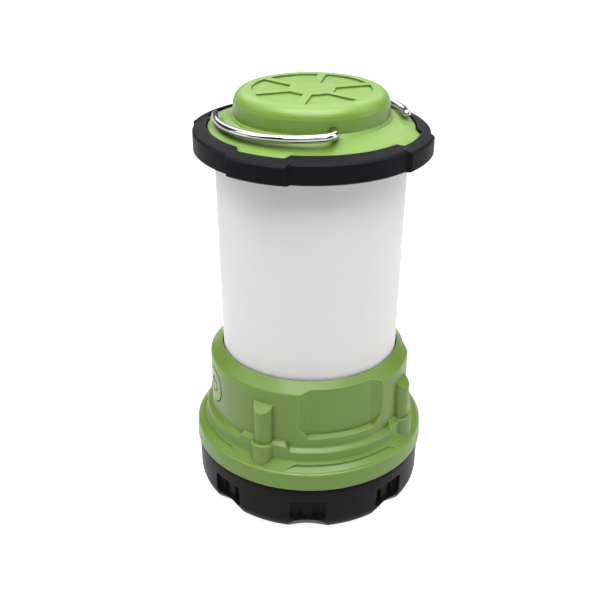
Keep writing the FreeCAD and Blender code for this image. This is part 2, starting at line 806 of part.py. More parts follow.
# ---------------------------------------------------------------------------
# Power button and switch
# ---------------------------------------------------------------------------
def make_button():
    """Push button with a cylindrical face, its seal, plunger, switch and board."""
    outward = Rotation(Y_AXIS, -90)
    height = "button_height"
    face = common("button_face", [
        cylinder("button_core", "button_radius", "8", "0.8 - button_seat", "0", height, outward),
        cylinder("button_skin", "collar_radius + 0.15", "40", z="button_height - 20"),
    ])
    flange = cylinder("button_rim", "button_flange", "1", "1.8 - button_seat", "0", height, outward)
    stem = cylinder("button_stem", "stem_radius", "1", "2.6 - button_seat", "0", height, outward)
    ring = cut("button_icon_ring", *[
        cylinder(f"icon_{radius}", radius, "3", "-45", "0", height, outward) for radius in ("3.6", "3")
    ])
    gap = block("icon_gap", "8", "1.6", "8", 180, "40", "button_height + 1")
    bar = block("icon_bar", "8", "0.6", "3.6", 180, "45.2", "button_height + 0.9")
    icon = fuse("button_icon", [cut("icon_arc", ring, gap), bar])
    core = common("icon_depth", [icon, cut("icon_shell", *[
        cylinder(f"icon_skin_{label}", f"collar_radius + {extra}", "30", z="button_height - 15")
        for label, extra in (("out", "2"), ("in", "-0.1"))
    ])])
    button = cut("engraved_button", fuse("plain_button", [face, flange, stem]), core)
    piece(button, "power_button")
    seal = cut("seal_washer", *[
        cylinder(f"washer_{label}", radius, "0.5", "0.5 - button_seat", "0", height, outward)
        for label, radius in (("out", "button_hole + 2.8"), ("in", "button_radius + 0.35"))
    ])
    piece(seal, "button_seal")
    piece(cylinder("plunger", "1.7", "2.8", "5.4 - button_seat", "0", height, outward), "switch_plunger")
    case = doc.addObject("Part::Box", "switch_case")
    bind(case, Length="3.5", Width="6", Height="6")
    locate(case, "3.8 - button_seat", "-3", "button_height - 3")
    guide = cylinder("switch_guide", "2", "3", "6.3 - button_seat", "0", height, outward)
    piece(cut("switch_body", case, guide), "tact_switch")
    board = block("board_blank", "board_thickness", "14", "19", 180, "button_seat - 8.9",
                  "button_height - 9.5")
    holes = []
    screws = []
    for number, side in enumerate((-1, 1)):
        z = f"button_height + {side} * 6.6"
        holes.append(cylinder(f"board_hole_{number}", "1.1", "6", "-30", "0", z, outward))
        shank = cylinder(f"board_screw_shank_{number}", "0.85", "4.4", "-29.9", "0", z, outward)
        head = cylinder(f"board_screw_head_{number}", "1.8", "1.2", "7.3 - button_seat", "0", z, outward)
        screws.append(fuse(f"board_screw_{number}", [shank, head]))
    piece(cut("board_drilled", board, fuse("board_holes", holes)), "switch_board")
    piece(group("board_screw_set", screws), "switch_screws")
    leads = [
        cylinder(f"lead_{side}", "0.6", "post_top + board_thickness + 0.6 - button_height - 4",
                 LEAD_X, side, "button_height + 4")
        for side in LEAD_SIDES
    ]
    piece(group("lead_pair", leads), "switch_leads")


# ---------------------------------------------------------------------------
# Light engine
# ---------------------------------------------------------------------------
def drilled_disc(name, radius, thickness, z, offset, hole, azimuths):
    """Disc with a ring of clearance holes."""
    disc = cylinder(name + "_disc", radius, thickness, z=z)
    holes = [
        cylinder(f"{name}_hole_{azimuth}", hole, f"({thickness}) + 2", *around(azimuth, offset),
                 f"({z}) - 1")
        for azimuth in azimuths
    ]
    return cut(name, disc, fuse(name + "_holes", holes))


def make_light_engine():
    """Driver board, spacers, heat spreader, LED board, reflectors and screws."""
    board = drilled_disc("driver", "board_radius", "board_thickness", "post_top", "post_offset",
                         "1.6", VALLEY_AZIMUTHS)
    notches = [
        cylinder(f"driver_notch_{side}", "0.7", "4", LEAD_X, side, "post_top - 1")
        for side in LEAD_SIDES
    ]
    piece(cut("driver_notched", board, fuse("driver_notches", notches)), "driver_board")
    top = "post_top + board_thickness"
    inductor = tube("inductor", "6.5", "2.2", "4.6", "-10", "12", top)
    piece(inductor, "driver_inductor")
    piece(cylinder("capacitor", "3.2", "5", "12", "12", top), "driver_capacitor")
    chip = doc.addObject("Part::Box", "chip")
    bind(chip, Length="6", Width="5", Height="1.5")
    locate(chip, "-3", "-14", top)
    piece(chip, "driver_chip")
    spacers = [
        tube(f"spacer_{azimuth}", "post_radius", "1.6", f"spacer_top - ({top})",
             *around(azimuth, "post_offset"), top)
        for azimuth in VALLEY_AZIMUTHS
    ]
    piece(group("spacer_set", spacers), "deck_spacers")
    spreader = drilled_disc("spreader", "spreader_radius", "spreader_thickness", "spacer_top",
                            "post_offset", "1.6", VALLEY_AZIMUTHS)
    pilots = [
        cylinder(f"led_pilot_{azimuth}", "1.05", "4", *around(azimuth, "10.5"), "spacer_top - 1")
        for azimuth in VALLEY_AZIMUTHS
    ]
    wire_holes = [
        cylinder(f"wire_hole_{y}", "1", "4", "0", y, "spacer_top - 1") for y in ("-4", "4")
    ]
    piece(cut("spreader_tapped", spreader, fuse("led_pilots", pilots + wire_holes)), "heat_spreader")
    face = "spacer_top + spreader_thickness"
    screws = [
        screw(f"deck_screw_{azimuth}", *around(azimuth, "post_offset"), face, "11.8", "1.25",
              "2.6", "1.8", False)
        for azimuth in VALLEY_AZIMUTHS
    ]
    piece(group("deck_screw_set", screws), "deck_screws")
    led_disc = drilled_disc("led_disc", "led_board_radius", "board_thickness", face, "10.5", "1.3",
                            VALLEY_AZIMUTHS)
    piece(cut("led_disc_wired", led_disc, fuse("led_wire_holes", [
        cylinder(f"led_wire_hole_{y}", "1", "8", "0", y, "spacer_top - 1") for y in ("-4", "4")
    ])), "led_board")
    small = [
        screw(f"led_screw_{azimuth}", *around(azimuth, "10.5"), f"{face} + board_thickness", "2.9",
              "1.05", "1.9", "1.1", False)
        for azimuth in VALLEY_AZIMUTHS
    ]
    piece(group("led_screw_set", small), "led_screws")
    chips = [
        block(f"led_chip_{azimuth}", "chip_side", "chip_side", "chip_height", azimuth,
              "chip_ring - chip_side / 2", f"{face} + board_thickness")
        for azimuth in range(0, 360, 30)
    ]
    chips.append(block("led_chip_middle", "chip_side", "chip_side", "chip_height", 0,
                       "-chip_side / 2", f"{face} + board_thickness"))
    piece(group("chip_set", chips), "led_chips")
    leads = [
        cylinder(f"led_lead_{y}", "0.7", f"{face} + board_thickness + 0.4 - ({top})", "0", y, top)
        for y in ("-4", "4")
    ]
    piece(group("led_lead_pair", leads), "led_leads")
    tray = turning("tray", [
        ("led_board_radius + 0.4", face),
        ("led_board_radius + 2.4", face),
        ("led_board_radius + 3.2", f"{face} + 2.2"),
        ("spreader_radius - 1.9", f"{face} + 2.6"),
        ("spreader_radius - 0.6", face),
        ("spreader_radius", face),
        ("spreader_radius + 0.1", f"{face} + 4.2"),
        ("spreader_radius - 1.2", f"{face} + 4"),
        ("led_board_radius + 2.6", f"{face} + 3.4"),
        ("led_board_radius + 0.4", f"{face} + 1.2"),
    ])
    piece(tray, "reflector_tray")


# ---------------------------------------------------------------------------
# Globe, ring and cap
# ---------------------------------------------------------------------------
def make_globe():
    """Frosted tube with a clamped foot, a top rim and a screwed web."""
    shell = turning("globe_shell", [
        ("globe_low_radius - globe_wall", "globe_foot_low"),
        ("globe_foot_radius", "globe_foot_low"),
        ("globe_foot_radius", "globe_foot_top"),
        ("globe_low_radius", "globe_foot_top"),
        ("globe_high_radius", "globe_taper_top"),
        ("globe_high_radius", "globe_rim_low"),
        ("globe_rim_radius", "globe_rim_low"),
        ("globe_rim_radius", "globe_rim_top"),
        ("globe_high_radius", "globe_rim_top"),
        ("globe_high_radius", "globe_top"),
        ("0", "globe_top"),
        ("0", "globe_top - globe_web"),
        ("globe_high_radius - globe_wall", "globe_top - globe_web"),
        ("globe_high_radius - globe_wall", "globe_taper_top"),
    ])
    holes = [
        cylinder(f"web_hole_{azimuth}", "1.8", "6", *around(azimuth, "cap_screw_offset"),
                 "globe_top - 4")
        for azimuth in CORNER_AZIMUTHS
    ]
    piece(cut("globe", shell, fuse("web_holes", holes)), "diffuser")
    piece(tube("lower_gasket", "seat_radius - 0.2", "globe_low_radius + 0.3",
               "lip_underside - globe_foot_top", z="globe_foot_top"), "diffuser_gasket")
    piece(tube("upper_gasket", "globe_high_radius - 0.4", "37", "cap_skirt_low - globe_top",
               z="globe_top"), "cap_gasket")
    cone = turning("cone_shell", [
        ("0", "globe_top - globe_web - 16"),
        ("21", "globe_top - globe_web - 1.4"),
        ("globe_high_radius - globe_wall - 0.4", "globe_top - globe_web - 1.4"),
        ("globe_high_radius - globe_wall - 0.4", "globe_top - globe_web"),
        ("20.4", "globe_top - globe_web"),
        ("0", "globe_top - globe_web - 14.2"),
    ])
    openings = [
        cylinder(f"cone_hole_{azimuth}", "1.8", "6", *around(azimuth, "cap_screw_offset"),
                 "globe_top - 6")
        for azimuth in CORNER_AZIMUTHS
    ]
    piece(cut("cone_drilled", cone, fuse("cone_holes", openings)), "reflector_cone")
    screws = [
        screw(f"cap_screw_{azimuth}", *around(azimuth, "cap_screw_offset"),
              "globe_top - globe_web - 1.4", "14", "1.35", "2.7", "2", True)
        for azimuth in CORNER_AZIMUTHS
    ]
    piece(group("cap_screw_set", screws), "cap_screws")


def tab_wedges(name, foot, tip):
    """Tapered plan-view wedges on the four corner azimuths, given as half widths."""
    wedges = []
    for azimuth in CORNER_AZIMUTHS:
        wedge = prism(f"{name}_{azimuth}", "XY_Plane", [
            ("36", foot), ("36", f"-{foot}"), ("54", f"-{tip}"), ("54", tip),
        ], "500")
        wedge.Placement = Placement(Vector(), turned(azimuth))
        wedges.append(wedge)
    return fuse(name, wedges)


def make_bumper_ring():
    """Black ring with four outward bulges over the corner azimuths."""
    base = turning("ring_base", [
        ("globe_rim_radius + 0.3", "ring_low"),
        ("ring_radius - 0.6", "ring_low"),
        ("ring_radius", "ring_low + 0.6"),
        ("ring_radius", "ring_edge"),
        ("ring_radius - 0.9", "ring_edge + 0.8"),
        ("ring_lip_radius + 0.4", "ring_top"),
        ("ring_lip_radius", "ring_top - 0.3"),
        ("ring_lip_radius", "ring_ledge"),
        ("globe_high_radius + 0.3", "ring_ledge"),
        ("globe_high_radius + 0.3", "globe_rim_top + 0.1"),
        ("globe_rim_radius + 0.3", "globe_rim_top + 0.1"),
    ])
    bulge = turning("bulge_band", [
        ("ring_radius - 2", "ring_low"),
        ("bulge_radius - 0.6", "ring_low"),
        ("bulge_radius", "ring_low + 0.6"),
        ("bulge_radius", "ring_edge - 0.5"),
        ("bulge_radius - 0.9", "ring_edge + 0.3"),
        ("ring_radius - 2", "ring_edge + 1.4"),
    ])
    bulges = common("ring_bulges", [bulge, tab_wedges("bulge_wedge", "18", "11.1")])
    pocket = turning("tab_pocket_band", [
        ("ring_lip_radius - 3", "ring_ledge - 0.5"),
        ("bulge_lip_radius", "ring_ledge - 0.5"),
        ("bulge_lip_radius", "ring_top + 3"),
        ("ring_lip_radius - 3", "ring_top + 3"),
    ])
    pockets = common("tab_pockets", [pocket, tab_wedges("pocket_wedge", "16", "4.6")])
    piece(cut("ring", fuse("ring_with_bulges", [base, bulges]), pockets), "bumper_ring")


def make_top_cap():
    """Green flange and dome with six sunk sectors, screw bosses and hook bearings."""
    slope = "(cap_flange_top - dome_foot) / (cap_flange_radius - dome_radius)"
    shell = turning("cap_shell", [
        ("cap_flange_radius", "ring_ledge + 0.1"),
        ("cap_flange_radius", "cap_flange_top - 0.4"),
        ("cap_flange_radius - 0.4", "cap_flange_top + 0.1"),
        ("dome_radius + 1.1", "dome_foot - 0.5"),
        ("dome_radius + 0.5", "dome_foot + 0.2"),
        ("dome_radius", "dome_foot + 0.5"),
        ("dome_radius - 0.3", "dome_wall_top - 0.4"),
        *[(f"shoulder_start + {math.sin(math.radians(steepness)):.4f} * shoulder_round",
           f"dome_top - {1 - math.cos(math.radians(steepness)):.4f} * shoulder_round")
          for steepness in range(77, 0, -11)],
        ("shoulder_start", "dome_top"),
        ("0", "dome_top"),
        ("0", "dome_top - 3"),
        ("dome_radius - dome_wall - 1.4", "dome_top - 3"),
        ("dome_radius - dome_wall", "dome_wall_top - 0.8"),
        ("dome_radius - dome_wall", "dome_foot - 1"),
        ("37", "dome_foot - 4.2"),
        ("37", "cap_skirt_low"),
        ("cap_skirt_radius", "cap_skirt_low"),
        ("cap_skirt_radius", "ring_ledge + 0.1"),
    ])
    band = turning("tab_band", [
        ("cap_skirt_radius + 1", "ring_ledge - 0.4"),
        ("cap_tab_radius", "ring_ledge - 0.4"),
        ("cap_tab_radius", f"cap_flange_top - 0.3 + {slope} * (cap_tab_radius - cap_flange_radius)"),
        ("cap_tab_radius - 0.4", f"cap_flange_top + {slope} * (cap_tab_radius - cap_flange_radius)"),
        ("cap_skirt_radius + 1", f"cap_flange_top + {slope} * (cap_skirt_radius + 1 - cap_flange_radius)"),
    ])
    tabs = common("cap_tabs", [band, tab_wedges("tab_wedge", "15.7", "4.3")])
    well = cut("well_ring", *[
        cylinder(f"well_{radius}", radius, "well_depth + 1", z="dome_top - well_depth")
        for radius in ("well_radius", "hub_radius")
    ])
    spokes = [
        block(f"spoke_{azimuth}", "2 * well_radius + 2", "spoke_width", "well_depth + 3", azimuth,
              "-well_radius - 1", "dome_top - well_depth - 1")
        for azimuth in (0, 60, 120)
    ]
    sectors = cut("well_sectors", well, fuse("spokes", spokes))

    def upright(edge):
        box = edge.BoundBox
        return box.ZMax - box.ZMin > size("well_depth") and box.XMax - box.XMin < 0.01

    sunk = round_edges("well_sectors_round", sectors, 0.9, upright)
    bosses = [
        cylinder(f"cap_boss_{azimuth}", "3.4", "dome_top - 2 - 171", *around(azimuth, "cap_screw_offset"),
                 "171")
        for azimuth in CORNER_AZIMUTHS
    ]
    bearings = [on_hinge("bearing", side, "4.2", "bearing_inner", "3.6") for side in HINGES]
    axle_holes = [on_hinge("axle_hole", side, "bearing_radius", "20", "20") for side in HINGES]
    pilots = [
        cylinder(f"cap_pilot_{azimuth}", "1.35", "12.2", *around(azimuth, "cap_screw_offset"), "170")
        for azimuth in CORNER_AZIMUTHS
    ]
    solid = fuse("cap_solid", [shell, tabs] + bosses + bearings)
    piece(cut("cap", solid, fuse("cap_cutters", [sunk] + axle_holes + pilots)), "top_cap")


# ---------------------------------------------------------------------------
# Wire hooks
# ---------------------------------------------------------------------------
def hook_wire(name):
    """Wire shape: straight root, small bend, then a long arc about the lantern's axis.

    It is made about its own hinge line, with the root along -Y and the arc on the -X side.
    """
    arc_radius = size("hook_radius")
    bend = size("hook_bend")
    centre = Vector(size("hinge_offset"), 0, 0)
    root = Vector(0, -size("hook_root"), 0)
    reach = ((arc_radius - bend) ** 2 - (bend + centre.x) ** 2) ** 0.5
    corner = Vector(-bend, -reach, 0)
    bend_start = Vector(0, -reach, 0)
    outward = (corner - centre).normalize()
    bend_end = centre + outward * arc_radius
    bend_middle = corner + (X_AXIS + outward).normalize() * bend
    start_angle = math.degrees(math.atan2(outward.y, outward.x))
    end_angle = -90.0 - size("hook_sweep")
    half = centre + Rotation(Z_AXIS, (start_angle + end_angle) / 2).multVec(X_AXIS * arc_radius)
    tip = centre + Rotation(Z_AXIS, end_angle).multVec(X_AXIS * arc_radius)
    path = Part.Wire([
        Part.makeLine(root, bend_start),
        Part.Arc(bend_start, bend_middle, bend_end).toShape(),
        Part.Arc(bend_end, half, tip).toShape(),
    ])
    section = Part.Wire([Part.makeCircle(size("wire_radius"), root, Y_AXIS)])
    rod = path.makePipeShell([section], True, False)
    ball = Part.makeSphere(size("wire_radius"), tip)
    made = doc.addObject("Part::Feature", name)
    made.Shape = rod.fuse(ball).removeSplitter()
    return made


def make_hooks():
    """Two hooks, half a turn apart, each drooping onto the flange from its hinge."""
    hinge = Vector(-size("hinge_offset"), 0, size("hinge_height"))
    for side, turn in (("left", 0.0), ("right", 180.0)):
        wire = hook_wire(f"wire_{side}")
        half_turn = Placement(Vector(), turned(turn))
        wire.Placement = half_turn * Placement(hinge, turned(0, -size("hook_droop")))
        piece(wire, f"hook_{side}")
        piece(cut(f"push_nut_{side}", *[
            on_hinge(f"push_nut_{label}", side, radius, "bearing_inner - 1.3", "1")
            for label, radius in (("outside", "3.8"), ("inside", "wire_radius + 0.02"))
        ]), f"hook_{side}_clip")


# ---------------------------------------------------------------------------
# Build, check and write
# ---------------------------------------------------------------------------
make_battery_cover()
make_cover_parts()
make_housing()
make_battery_holder()
make_holder_parts()
make_button()
make_light_engine()
make_globe()
make_bumper_ring()
make_top_cap()
make_hooks()
doc.recompute()

for thing in doc.Objects:
    bad = [state for state in thing.State if state in ("Invalid", "Error")]
    if bad:
        raise RuntimeError(f"{thing.Label}: {bad}")

os.makedirs("parts", exist_ok=True)
for thing in pieces:
    if thing.Shape.isNull() or not thing.Shape.isValid():
        raise RuntimeError(f"{thing.Label} has no valid shape")
    print(f"{thing.Label:22s} solids {len(thing.Shape.Solids):2d} volume {thing.Shape.Volume:10.1f}")
for thing in pieces:
    thing.Shape.exportStep(f"parts/{thing.Label}.step")
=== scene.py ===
"""Looks of the camping lantern: materials, printed icon, floor, light and camera."""

import json
import math

import bmesh
import bpy
from mathutils import Matrix, Vector


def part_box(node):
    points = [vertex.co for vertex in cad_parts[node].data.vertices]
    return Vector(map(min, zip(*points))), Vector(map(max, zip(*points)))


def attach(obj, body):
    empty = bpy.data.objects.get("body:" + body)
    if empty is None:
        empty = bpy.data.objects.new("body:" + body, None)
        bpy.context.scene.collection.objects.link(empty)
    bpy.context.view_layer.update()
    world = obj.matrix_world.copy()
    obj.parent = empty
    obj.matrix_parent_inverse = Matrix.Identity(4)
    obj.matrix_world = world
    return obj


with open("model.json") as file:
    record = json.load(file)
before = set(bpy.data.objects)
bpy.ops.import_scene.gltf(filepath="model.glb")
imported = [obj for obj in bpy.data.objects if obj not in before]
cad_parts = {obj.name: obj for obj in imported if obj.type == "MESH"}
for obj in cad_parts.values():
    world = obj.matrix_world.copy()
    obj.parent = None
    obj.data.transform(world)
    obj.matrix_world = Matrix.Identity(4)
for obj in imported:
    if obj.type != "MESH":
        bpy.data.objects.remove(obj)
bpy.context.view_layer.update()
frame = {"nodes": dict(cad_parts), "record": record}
scene = bpy.context.scene
nodes = frame["nodes"]


# ---------------------------------------------------------------------------
# Material kit. Lengths are in metres and noise scales in repeats per metre.
# ---------------------------------------------------------------------------
CLOUD_SCALE = 38
WEAR_AND_HIGHLIGHT_SCALE = 160
GLOSS_SCALE = 90
GLOSS_SPREAD = 0.05
EDGE_BAND = 1.6
CREASE_REACH = 0.0022
GRAIN_DEPTH = 0.00004
GRAIN_STRENGTH = 0.35
METAL_CLOUD_SCALE = 70
METAL_GLOSS_SCALE = 240
METAL_ROUNDING = 0.0002


class Finish:
    """Node material on one Principled shader, built up a layer at a time."""

    def __init__(self, name, **sockets):
        self.material = bpy.data.materials.new(name)
        self.material.use_nodes = True
        self.tree = self.material.node_tree
        self.shader = self.tree.nodes["Principled BSDF"]
        for socket, value in sockets.items():
            self.shader.inputs[socket.replace("_", " ")].default_value = value
        self.place = self.add("ShaderNodeTexCoord").outputs["Object"]

    def add(self, kind, **settings):
        """New node, with its settings."""
        node = self.tree.nodes.new(kind)
        for name, value in settings.items():
            setattr(node, name, value)
        return node

    def link(self, output, target):
        """Join an output to an input."""
        self.tree.links.new(output, target)
        return output

    def stretched(self, stretch):
        """Object coordinates scaled along the three axes."""
        mapping = self.add("ShaderNodeMapping")
        mapping.inputs["Scale"].default_value = stretch
        self.link(self.place, mapping.inputs["Vector"])
        return mapping.outputs["Vector"]

    def noise(self, scale, detail, stretch=(1, 1, 1)):
        """Noise in object coordinates."""
        node = self.add("ShaderNodeTexNoise")
        node.inputs["Scale"].default_value = scale
        node.inputs["Detail"].default_value = detail
        self.link(self.stretched(stretch), node.inputs["Vector"])
        return node.outputs["Fac"]

    def remap(self, value, low, high, start=0.3, stop=0.7):
        """Value spread from start..stop to low..high."""
        node = self.add("ShaderNodeMapRange")
        for socket, number in (("From Min", start), ("From Max", stop),
                               ("To Min", low), ("To Max", high)):
            node.inputs[socket].default_value = number
        self.link(value, node.inputs["Value"])
        return node.outputs["Result"]

    def blend(self, factor, first, second):
        """Mix of two colours; each is an RGB tuple or an output."""
        node = self.add("ShaderNodeMix", data_type="RGBA")
        self.link(factor, node.inputs[0])
        for socket, colour in ((6, first), (7, second)):
            if isinstance(colour, tuple):
                node.inputs[socket].default_value = (*colour, 1.0)
            else:
                self.link(colour, node.inputs[socket])
        return node.outputs[2]

    def edges(self, radius):
        """1 along the object's sharp edges and 0 on its faces."""
        rounded = self.add("ShaderNodeBevel", samples=4)
        rounded.inputs["Radius"].default_value = radius
        facing = self.add("ShaderNodeNewGeometry")
        product = self.add("ShaderNodeVectorMath", operation="DOT_PRODUCT")
        self.link(rounded.outputs["Normal"], product.inputs[0])
        self.link(facing.outputs["Normal"], product.inputs[1])
        return self.remap(product.outputs["Value"], 1.0, 0.0, 0.92, 0.995)

    def creases(self, reach):
        """1 on open faces, falling to 0 in grooves and inner corners."""
        shade = self.add("ShaderNodeAmbientOcclusion", samples=8)
        shade.inputs["Distance"].default_value = reach
        return self.remap(shade.outputs["AO"], 0.0, 1.0, 0.45, 0.97)

    def colour(self, output):
        """Colour the surface by an output."""
        self.link(output, self.shader.inputs["Base Color"])

    def roughness(self, output):
        """Set the gloss by an output."""
        self.link(output, self.shader.inputs["Roughness"])

    def relief(self, height, distance, strength, rounding):
        """Surface normal: bump from a height field, over rounded edges."""
        bump = self.add("ShaderNodeBump")
        bump.inputs["Distance"].default_value = distance
        bump.inputs["Strength"].default_value = strength
        self.link(height, bump.inputs["Height"])
        bevel = self.add("ShaderNodeBevel", samples=6)
        bevel.inputs["Radius"].default_value = rounding
        self.link(bevel.outputs["Normal"], bump.inputs["Normal"])
        self.link(bump.outputs["Normal"], self.shader.inputs["Normal"])


def moulded(name, main, pale, worn_and_highlight, rough, grain, rounding, wear_and_highlight=0.5, painted_crease_level=0.45, **sockets):
    """Moulded plastic or rubber: clouded colour, fine grain, edges lightened partly as scuffing
    and partly as a painted highlight, and painted shade in creases and recesses.

    wear is how far the edges go to the worn colour, a scuffed tone that also serves as a painted
    highlight, and dim is the brightness in creases: below 1 it is painted shade, above 1 painted
    light."""
    made = Finish(name, **sockets)
    clouds = made.remap(made.noise(CLOUD_SCALE, 4), 0.0, 1.0)
    body = made.blend(clouds, main, pale)
    # Edges lightened toward the worn colour: partly scuffing, partly a painted highlight standing
    # in for light caught on rounded edges.
    rubbed_and_highlit = made.add("ShaderNodeMath", operation="MULTIPLY")
    made.link(made.edges(rounding * EDGE_BAND), rubbed_and_highlit.inputs[0])
    made.link(made.remap(made.noise(WEAR_AND_HIGHLIGHT_SCALE, 2), 0.5 * wear_and_highlight, wear_and_highlight), rubbed_and_highlit.inputs[1])
    open_face = made.blend(rubbed_and_highlit.outputs["Value"], body, worn_and_highlight)
    # Painted shade in grooves and inner corners: they fall toward dim times the main colour, or
    # are painted lighter where dim is above 1.
    painted_crease_tone = tuple(painted_crease_level * part for part in main)
    made.colour(made.blend(made.creases(CREASE_REACH), painted_crease_tone, open_face))
    gloss = made.noise(GLOSS_SCALE, 5)
    made.roughness(made.remap(gloss, rough - GLOSS_SPREAD, rough + GLOSS_SPREAD))
    made.relief(made.noise(grain, 2), GRAIN_DEPTH, GRAIN_STRENGTH, rounding)
    return made.material


def metal(name, main, dull, rough, grain, stretch=(1, 1, 1), depth=0.000006):
    """Metal with a clouded tone, a spread of gloss and fine drawing or rolling marks."""
    made = Finish(name, Metallic=1.0)
    made.colour(made.blend(made.remap(made.noise(METAL_CLOUD_SCALE, 4), 0.0, 1.0), main, dull))
    gloss = made.noise(METAL_GLOSS_SCALE, 5, stretch)
    made.roughness(made.remap(gloss, rough * 0.7, rough * 1.4))
    made.relief(made.noise(grain, 3, stretch), depth, 0.5, METAL_ROUNDING)
    return made.material


def frosted():
    """Frosted globe: milky, faintly clouded, with a fine etched skin."""
    made = Finish("frosted_plastic", Subsurface_Weight=0.6, Subsurface_Scale=0.012,
                  IOR=1.49, Specular_IOR_Level=0.3)
    made.shader.inputs["Subsurface Radius"].default_value = (1.0, 1.0, 1.0)
    made.colour(made.blend(made.remap(made.noise(22, 3), 0.0, 1.0),
                           (0.64, 0.64, 0.635), (0.67, 0.67, 0.665)))
    made.roughness(made.remap(made.noise(60, 4), 0.40, 0.50))
    made.relief(made.noise(3200, 2), 0.00002, 0.3, 0.0005)
    return made.material


FINISHES = {
    # Green plastic: its edges go far toward a much lighter colour, mostly a painted highlight and
    # only partly scuffing.
    "green_plastic": moulded(
        "green_plastic", (0.098, 0.184, 0.0215), (0.107, 0.196, 0.025), (0.26, 0.42, 0.10),
        0.36, 2200, 0.0004, wear_and_highlight=0.7, Specular_IOR_Level=0.42),
    # Black plastic: its creases, grip pockets and slots are painted lighter than its faces,
    # painted light that fills their shade.
    "black_plastic": moulded(
        "black_plastic", (0.0074, 0.0074, 0.0078), (0.0090, 0.0090, 0.0094), (0.040, 0.040, 0.042),
        0.42, 1800, 0.0004, painted_crease_level=2.0, Specular_IOR_Level=0.06),
    "black_rubber": moulded(
        "black_rubber", (0.0035, 0.0038, 0.0049), (0.0046, 0.0050, 0.0062), (0.020, 0.021, 0.025),
        0.48, 1500, 0.0004, painted_crease_level=0.8, Specular_IOR_Level=0.06),
    "silicone": moulded(
        "silicone", (0.012, 0.012, 0.013), (0.018, 0.018, 0.019), (0.04, 0.04, 0.04),
        0.5, 900, 0.0002, Specular_IOR_Level=0.4),
    "frosted_plastic": frosted(),
    "button_plastic": moulded(
        "button_plastic", (0.107, 0.199, 0.032), (0.116, 0.211, 0.036), (0.24, 0.40, 0.09),
        0.30, 2600, 0.0003, Specular_IOR_Level=0.4),
    "chrome_wire": metal(
        "chrome_wire", (0.58, 0.58, 0.59), (0.52, 0.52, 0.53), 0.08, 300, depth=0.000001),
    "steel": metal("steel", (0.55, 0.55, 0.56), (0.42, 0.42, 0.43), 0.28, 1400),
    "nickel_plate": metal("nickel_plate", (0.68, 0.64, 0.57), (0.58, 0.55, 0.49), 0.22, 1100),
    "cell_wrap": moulded(
        "cell_wrap", (0.045, 0.047, 0.052), (0.060, 0.062, 0.068), (0.25, 0.22, 0.16),
        0.25, 700, 0.0004, Specular_IOR_Level=0.5),
    "circuit_board": moulded(
        "circuit_board", (0.012, 0.095, 0.040), (0.020, 0.140, 0.060), (0.20, 0.24, 0.12),
        0.32, 1600, 0.0001, Specular_IOR_Level=0.5),
    "lead_sleeve": moulded(
        "lead_sleeve", (0.35, 0.025, 0.020), (0.42, 0.035, 0.028), (0.5, 0.1, 0.08),
        0.38, 1200, 0.0001),
    "ferrite": moulded(
        "ferrite", (0.030, 0.029, 0.030), (0.045, 0.043, 0.043), (0.10, 0.10, 0.10),
        0.6, 3000, 0.0003),
    "aluminium": metal(
        "aluminium", (0.72, 0.73, 0.74), (0.62, 0.63, 0.64), 0.34, 900, stretch=(1, 14, 1)),
    "white_plastic": moulded(
        "white_plastic", (0.78, 0.78, 0.76), (0.84, 0.84, 0.82), (0.9, 0.9, 0.9),
        0.36, 1700, 0.0004, wear_and_highlight=0.2),
    "phosphor": moulded(
        "phosphor", (0.80, 0.56, 0.06), (0.86, 0.64, 0.10), (0.9, 0.8, 0.5),
        0.45, 2600, 0.0001, wear_and_highlight=0.2),
    "icon_ink": moulded(
        "icon_ink", (0.020, 0.022, 0.018), (0.028, 0.030, 0.024), (0.05, 0.06, 0.04),
        0.6, 2600, 0.0001, wear_and_highlight=0.2, Specular_IOR_Level=0.15),
}

for subpart in frame["record"]["subparts"]:
    piece = nodes[subpart["node"]]
    piece.data.materials.clear()
    piece.data.materials.append(FINISHES[subpart["material_slot"]])


# ---------------------------------------------------------------------------
# Icon printed on the power button
# ---------------------------------------------------------------------------
INK_HALF_WIDTH = 0.00036
INK_LIFT = 0.00003
INK_THICKNESS = 0.00005
ARC_RADIUS = 0.0033
ARC_GAP = math.radians(28)
ARC_STEPS = 48
BAR_FOOT = 0.0009
BAR_STEP = 0.0006


def on_button(across, up, out):
    """Point on the button's curved face; across runs along Y."""
    low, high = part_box("power_button")
    radius = -low.x + out
    middle = (low.z + high.z) / 2
    angle = across / radius
    return Vector((-radius * math.cos(angle), radius * math.sin(angle), middle + up))


def printed(mesh_name, centreline):
    """Flat ribbon of ink along a centreline of (across, up) points on the button."""
    sheet = bmesh.new()
    rows = []
    for index, (across, up) in enumerate(centreline):
        before = centreline[max(index - 1, 0)]
        after = centreline[min(index + 1, len(centreline) - 1)]
        run = Vector((after[0] - before[0], after[1] - before[1])).normalized()
        side = Vector((-run.y, run.x)) * INK_HALF_WIDTH
        rows.append([
            sheet.verts.new(on_button(across + sign * side.x, up + sign * side.y, INK_LIFT))
            for sign in (-1, 1)
        ])
    for first, second in zip(rows, rows[1:]):
        sheet.faces.new((first[0], first[1], second[1], second[0]))
    mesh = bpy.data.meshes.new(mesh_name)
    sheet.to_mesh(mesh)
    sheet.free()
    made = bpy.data.objects.new(mesh_name, mesh)
    scene.collection.objects.link(made)
    thickness = made.modifiers.new("thickness", "SOLIDIFY")
    thickness.thickness = INK_THICKNESS
    made.data.materials.append(FINISHES["icon_ink"])
    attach(made, "button")


